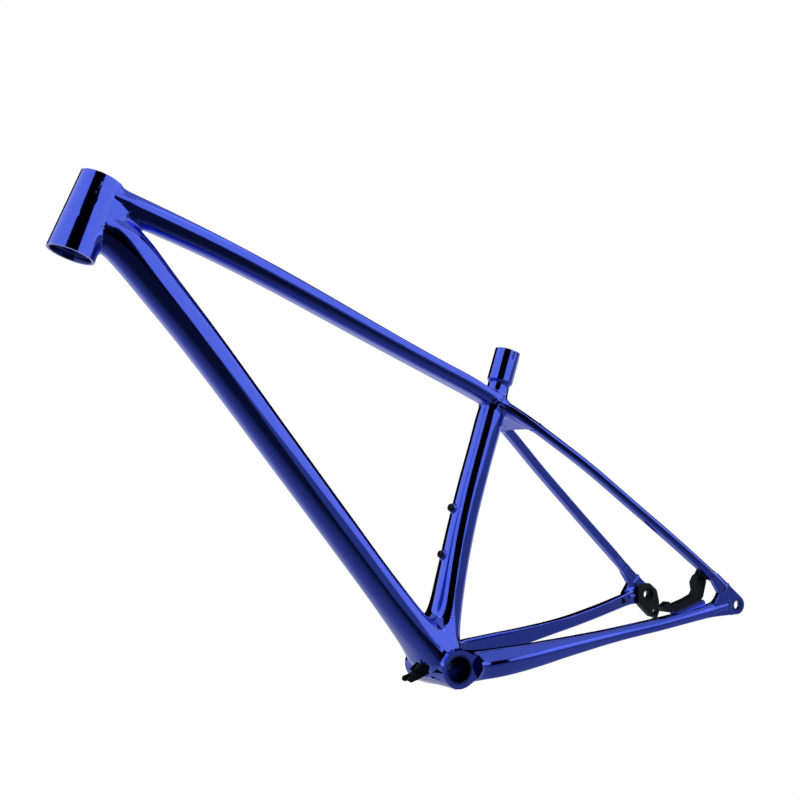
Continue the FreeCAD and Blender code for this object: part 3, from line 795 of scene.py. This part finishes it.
painted("down_tube", down_skin, (-520, -60, -30), (30, 60, 600),
        ((HEAD_SPLIT, -HEAD_BACK), (CROTCH, -CROTCH_WAY), (DOWN_FOOT, down.along),
         (SEAT_FRONT_SPLIT, SEAT_BACK)))
post_bore = rod(SEAT_FOOT, SEAT_UP, POST_RADIUS, POST_BORE_START, SEAT_LENGTH + 2 * SPARE)


def slot_cutter():
    """Narrow upright slot through both sides of the collar, round at its foot."""
    foot = SEAT_TOP - SEAT_UP * (SLOT_DEPTH - SLOT_HALF)
    front = -SEAT_BACK
    corners = []
    for i in range(9):
        turn = math.pi * i / 8 + math.pi
        corners.append((math.cos(turn) * SLOT_HALF, math.sin(turn) * SLOT_HALF))
    corners += [(SLOT_HALF, SLOT_ABOVE), (-SLOT_HALF, SLOT_ABOVE)]
    rings = []
    for y in (-SLOT_ACROSS, SLOT_ACROSS):
        rings.append([foot + front * a + SEAT_UP * b + RIGHT * y for a, b in corners])
    count = len(corners)
    faces = [tuple(range(count)), tuple(range(2 * count - 1, count - 1, -1))]
    faces += [(i, i + count, (i + 1) % count + count, (i + 1) % count) for i in range(count)]
    return mesh_from_lists("slot", rings[0] + rings[1], faces)


painted("seat_tube", seat_skin, (-60, -60, 40), (160, 60, 440),
        ((SEAT_FRONT_SPLIT, -SEAT_BACK), (SEAT_REAR_SPLIT, SEAT_REAR_WAY), (SHELL_TOP, -SHELL_WAY),
         (SEAT_TOP, SEAT_UP)), (post_bore, slot_cutter()))
sleeve_pocket = rod(BRACKET, RIGHT, SLEEVE_RADIUS, -SHELL_HALF - SPARE, SHELL_HALF + SPARE)
painted("bottom_bracket_shell", low_skin, (-80, -76, -35), (75, 76, 75),
        ((SHELL_TOP, SHELL_WAY), (DOWN_FOOT, -down.along), (STAY_SPLIT, X_WAY),
         (RIGHT * SHELL_HALF, RIGHT), (LEFT * SHELL_HALF, LEFT)), (sleeve_pocket,))
painted("seatstay_bridge", rear_skin, (90, -60, 285), (165, 60, 380),
        ((SEAT_REAR_SPLIT, -SEAT_REAR_WAY), (BRIDGE_SPLIT, BRIDGE_WAY)))
# The stays and dropouts of each side, cut out of boxes from near the middle plane to the outside
rear_parts = ((-1, "left", left_chain_tube, left_seat_stay, left_plate),
              (1, "right", right_chain_tube, right_seat_stay, right_plate))
for side, name, chain, stay, plate in rear_parts:
    middle = -3 * side
    inner = 12 * side
    outer = 118 * side
    painted(f"{name}_chainstay", low_skin,
            (24, min(middle, outer), -35), (380, max(middle, outer), 85),
            ((STAY_SPLIT, -X_WAY), (DROP_SPLIT, X_WAY), (MIDDLE, LEFT * side), (SHELL_TOP, SHELL_WAY)))
    painted(f"{name}_seatstay", rear_skin,
            (125, min(inner, outer), 90), (380, max(inner, outer), 340),
            ((BRIDGE_SPLIT, -BRIDGE_WAY), (DROP_SPLIT, X_WAY)))
    painted(f"{name}_dropout", Blend(*plate, (chain, END_FILLET), (stay, END_FILLET)),
            (366, min(inner, outer), 36), (448, max(inner, outer), 128),
            ((DROP_SPLIT, -X_WAY),), (rod(AXLE, RIGHT, BUSHING_RADIUS, -130, 130),), FINE)


# ---- materials --------------------------------------------------------------------------------------
def material(name, base, metallic, roughness):
    mat = bpy.data.materials.new(name)
    mat.use_nodes = True
    shader = mat.node_tree.nodes["Principled BSDF"]
    shader.inputs["Base Color"].default_value = (*base, 1)
    shader.inputs["Metallic"].default_value = metallic
    shader.inputs["Roughness"].default_value = roughness
    return mat, mat.node_tree, shader


def add_noise(tree, scale, detail):
    coordinates = tree.nodes.new("ShaderNodeTexCoord")
    noise = tree.nodes.new("ShaderNodeTexNoise")
    noise.inputs["Scale"].default_value = scale
    noise.inputs["Detail"].default_value = detail
    tree.links.new(coordinates.outputs["Object"], noise.inputs["Vector"])
    return noise


def add_range(tree, source, low, high):
    scaled = tree.nodes.new("ShaderNodeMapRange")
    scaled.inputs["To Min"].default_value = low
    scaled.inputs["To Max"].default_value = high
    tree.links.new(source, scaled.inputs["Value"])
    return scaled.outputs["Result"]


def add_bump(tree, source, distance, strength):
    bump = tree.nodes.new("ShaderNodeBump")
    bump.inputs["Strength"].default_value = strength
    bump.inputs["Distance"].default_value = distance
    tree.links.new(source, bump.inputs["Height"])
    return bump.outputs["Normal"]


def candy_paint():
    mat, tree, shader = material("candy_blue", (0.045, 0.085, 0.82), 1.0, 0.12)
    flakes = add_noise(tree, 500.0, 2.0)
    colour = tree.nodes.new("ShaderNodeMix")
    colour.data_type = "RGBA"
    colour.inputs["A"].default_value = (0.020, 0.078, 0.82, 1)
    colour.inputs["B"].default_value = (0.024, 0.086, 0.88, 1)
    tree.links.new(flakes.outputs["Fac"], colour.inputs["Factor"])
    tree.links.new(colour.outputs["Result"], shader.inputs["Base Color"])
    tree.links.new(add_range(tree, flakes.outputs["Fac"], 0.10, 0.13), shader.inputs["Roughness"])
    shader.inputs["Coat Weight"].default_value = 1.0
    shader.inputs["Coat Roughness"].default_value = 0.02
    shader.inputs["Coat IOR"].default_value = 1.7
    peel = add_noise(tree, 220.0, 2.0)
    tree.links.new(add_bump(tree, peel.outputs["Fac"], 0.00001, 0.1), shader.inputs["Coat Normal"])
    return mat


def grained(name, dark, light, metallic, roughness, grain_size, bump):
    """Two shades of one colour; the grain also changes the roughness and lifts the surface."""
    scale, detail = grain_size
    mat, tree, shader = material(name, dark, metallic, roughness[0])
    grain = add_noise(tree, scale, detail)
    colour = tree.nodes.new("ShaderNodeMix")
    colour.data_type = "RGBA"
    colour.inputs["A"].default_value = (*dark, 1)
    colour.inputs["B"].default_value = (*light, 1)
    tree.links.new(grain.outputs["Fac"], colour.inputs["Factor"])
    tree.links.new(colour.outputs["Result"], shader.inputs["Base Color"])
    rough = add_range(tree, grain.outputs["Fac"], *roughness)
    tree.links.new(rough, shader.inputs["Roughness"])
    tree.links.new(add_bump(tree, grain.outputs["Fac"], *bump), shader.inputs["Normal"])
    return mat


def metal(name, dark, light, roughness, scale, bump):
    return grained(name, dark, light, 1.0, roughness, (scale, 4.0), (bump, 0.5))


def moulded(name, dark, light, roughness):
    return grained(name, dark, light, 0.0, roughness, (1400.0, 3.0), (0.00003, 0.4))


PAINT = candy_paint()
ALLOY = metal("turned_alloy", (0.62, 0.63, 0.66), (0.74, 0.75, 0.78), (0.22, 0.36), 900.0, 0.00002)
ANODISED = metal("dark_anodised", (0.030, 0.031, 0.036), (0.055, 0.056, 0.062), (0.38, 0.52),
                 2200.0, 0.00003)
OXIDE = metal("black_oxide", (0.02, 0.02, 0.022), (0.045, 0.045, 0.05), (0.3, 0.45), 1500.0, 0.00002)
RUBBER = moulded("rubber", (0.012, 0.012, 0.013), (0.02, 0.02, 0.021), (0.6, 0.75))
LINER = moulded("liner", (0.02, 0.02, 0.02), (0.03, 0.03, 0.03), (0.4, 0.5))
FINISH = {"frame_paint": PAINT, "machined_alloy": ALLOY, "dark_anodised_alloy": ANODISED,
          "black_screw": OXIDE, "rubber_grommet": RUBBER, "liner_plastic": LINER}


def dress(piece, mat):
    piece.data.materials.clear()
    piece.data.materials.append(mat)


for piece in painted_pieces:
    dress(piece, PAINT)

SLOT_OF = {subpart["node"]: subpart["material_slot"] for subpart in frame["record"]["subparts"]}


def soften(piece, width):
    """Round a CAD node's edges a little."""
    weld = piece.modifiers.new("weld", "WELD")
    weld.merge_threshold = 1e-6
    bevel = piece.modifiers.new("bevel", "BEVEL")
    bevel.width = width * MM
    bevel.segments = 2
    bevel.limit_method = "ANGLE"
    bevel.angle_limit = math.radians(35)
    bevel.harden_normals = True


# Dark blue metal for the bottom bracket sleeve, the bearing seats and the axle bushing: painted shade of
# the bores' insides, tinted blue as a painted reflection of the frame's paint.
INNER = metal("bore_shade_blue", (0.03, 0.05, 0.24), (0.05, 0.08, 0.32), (0.16, 0.26), 900.0, 0.00002)
SHADED_BORES = ("bottom_bracket_sleeve", "lower_bearing_seat", "upper_bearing_seat", "left_axle_bushing")
EDGE_WIDTH = 0.3               # bevel of the CAD nodes' edges

for node, part in frame["nodes"].items():
    if not part.hide_render:
        dress(part, INNER if node in SHADED_BORES else FINISH[SLOT_OF[node]])
        soften(part, EDGE_WIDTH)


# ---- studio --------------------------------------------------------------------------------------------
YAW = math.radians(29.514)      # the camera's turn about the upright axis
TO_CAMERA = np.array([-math.sin(YAW), -math.cos(YAW), 0.0])
TO_RIGHT = np.array([math.cos(YAW), -math.sin(YAW), 0.0])
FLOOR = -0.36
LEFT_NEAR = (-0.64, 1.34)      # ends of the two softboxes, (right, near) in metres
LEFT_FAR = (-2.5, -1.5)
RIGHT_NEAR = (1.03, 1.56)
RIGHT_FAR = (2.6, -1.6)
LEFT_FOOT = 0.25               # heights of their lower and upper edges
LEFT_HEAD = 2.6
RIGHT_FOOT = 0.33
RIGHT_HEAD = 2.2
BOX_POWER = 2.75               # watts per square metre
SKIRT_GLOW = 0.22
WHITE = (1, 1, 1)
COOL_WHITE = (0.86, 0.90, 1.0)


def studio_place(right, near, height):
    """Point in metres, from the camera's right, the way to the camera and the height."""
    return Vector(TO_RIGHT * right + TO_CAMERA * near + np.array([0, 0, height]))


def softbox(name, start, end, low, high, power):
    """Upright rectangular light between two (right, near) places, facing the frame."""
    a = studio_place(*start, (low + high) / 2)
    b = studio_place(*end, (low + high) / 2)
    light = bpy.data.lights.new(name, "AREA")
    light.shape = "RECTANGLE"
    light.size = (b - a).length
    light.size_y = high - low
    light.energy = power * light.size * light.size_y
    lamp = bpy.data.objects.new(name, light)
    bpy.context.scene.collection.objects.link(lamp)
    centre = (a + b) / 2
    lamp.location = centre
    level = (b - a).normalized()
    away = level.cross(Vector((0, 0, 1)))
    if away.dot(centre) < 0:
        away = -away
    turn = Matrix((level, away.cross(level), away)).transposed()
    lamp.rotation_euler = turn.to_euler()


softbox("left_softbox", LEFT_NEAR, LEFT_FAR, LEFT_FOOT, LEFT_HEAD, BOX_POWER)
softbox("right_softbox", RIGHT_NEAR, RIGHT_FAR, RIGHT_FOOT, RIGHT_HEAD, BOX_POWER)


def card(name, corners, colour, strength, camera, others):
    """Flat glowing sheet that is seen by the camera only, or by reflections only."""
    mesh = bpy.data.meshes.new(name)
    mesh.from_pydata(corners, [], [tuple(range(len(corners)))])
    sheet = add_object(name, mesh)
    mat = bpy.data.materials.new(name)
    mat.use_nodes = True
    tree = mat.node_tree
    tree.nodes.clear()
    out = tree.nodes.new("ShaderNodeOutputMaterial")
    glow = tree.nodes.new("ShaderNodeEmission")
    glow.inputs["Color"].default_value = (*colour, 1)
    glow.inputs["Strength"].default_value = strength
    tree.links.new(glow.outputs["Emission"], out.inputs["Surface"])
    mesh.materials.append(mat)
    sheet.visible_camera = camera
    sheet.visible_diffuse = others
    sheet.visible_glossy = others
    sheet.visible_transmission = others
    sheet.visible_shadow = False
    return sheet


def wall(start, end, low, high):
    """Corners of an upright sheet between two (right, near) places."""
    return [studio_place(*start, low), studio_place(*end, low),
            studio_place(*end, high), studio_place(*start, high)]


def square(half, height):
    """Corners of a level sheet over the origin."""
    return [(i * half, j * half, height) for i, j in ((-1, -1), (1, -1), (1, 1), (-1, 1))]


# The floor is seen by the camera only; the skirts, the ceiling and the glow by reflections only.
card("floor", square(30, FLOOR - 0.002), WHITE, 1.0, True, False)
card("left_skirt", wall(LEFT_NEAR, LEFT_FAR, FLOOR, LEFT_FOOT), COOL_WHITE, SKIRT_GLOW, False, True)
card("right_skirt", wall(RIGHT_NEAR, RIGHT_FAR, FLOOR, RIGHT_FOOT), COOL_WHITE, SKIRT_GLOW, False, True)
card("ceiling", square(1.6, 2.4), WHITE, 0.5, False, True)
glow = card("floor_glow", square(12, FLOOR), COOL_WHITE, 0.2, False, True)


def brighten_away(sheet, near, far, dim, bright):
    """Make a card brighter away from the camera, between two distances in metres."""
    tree = sheet.data.materials[0].node_tree
    coordinates = tree.nodes.new("ShaderNodeTexCoord")
    dot = tree.nodes.new("ShaderNodeVectorMath")
    dot.operation = "DOT_PRODUCT"
    dot.inputs[1].default_value = TO_CAMERA
    ramp = tree.nodes.new("ShaderNodeMapRange")
    ramp.inputs["From Min"].default_value = near
    ramp.inputs["From Max"].default_value = far
    ramp.inputs["To Min"].default_value = dim
    ramp.inputs["To Max"].default_value = bright
    tree.links.new(coordinates.outputs["Object"], dot.inputs[0])
    tree.links.new(dot.outputs["Value"], ramp.inputs["Value"])
    tree.links.new(ramp.outputs["Result"], tree.nodes["Emission"].inputs["Strength"])


brighten_away(glow, 1.0, -1.5, 0.03, 0.62)


def backdrop(radius=28.0, sides=48, rings=12):
    """Plain white dome round the studio."""
    points = []
    faces = []
    for r in range(rings + 1):
        lift = math.pi / 2 * r / rings
        for i in range(sides):
            turn = 2 * math.pi * i / sides
            level = radius * math.cos(lift)
            points.append((level * math.cos(turn), level * math.sin(turn), radius * math.sin(lift) + FLOOR))
    for r in range(rings):
        for i in range(sides):
            j = (i + 1) % sides
            faces.append((r * sides + i, r * sides + j, (r + 1) * sides + j, (r + 1) * sides + i))
    mesh = bpy.data.meshes.new("backdrop")
    mesh.from_pydata(points, [], faces)
    dome = add_object("backdrop", mesh)
    mesh.materials.append(bpy.data.materials["floor"])
    dome.visible_diffuse = False
    dome.visible_glossy = False
    dome.visible_transmission = False
    dome.visible_shadow = False


backdrop()
world = bpy.data.worlds.new("studio")
world.use_nodes = True
world.node_tree.nodes["Background"].inputs["Color"].default_value = (0, 0, 0, 1)
world.node_tree.nodes["Background"].inputs["Strength"].default_value = 0.0
bpy.context.scene.world = world
bpy.context.scene.view_settings.view_transform = "Standard"

# The camera's lens, directions and place, fitted to the photo
camera_data = bpy.data.cameras.new("camera")
camera_data.lens = 68.41
camera_data.sensor_width = 36.0
camera_data.clip_end = 100.0
camera = bpy.data.objects.new("camera", camera_data)
bpy.context.scene.collection.objects.link(camera)
view_right = Vector((0.8705, -0.4920, -0.0154)).normalized()
view_back = Vector((-0.4923, -0.8698, -0.0336)).normalized()
view_up = view_back.cross(view_right)
view_place = Vector((-1.0438, -1.7481, 0.2861))
camera.matrix_world = Matrix((
    (view_right.x, view_up.x, view_back.x, view_place.x),
    (view_right.y, view_up.y, view_back.y, view_place.y),
    (view_right.z, view_up.z, view_back.z, view_place.z),
    (0, 0, 0, 1),
))
bpy.context.scene.camera = camera
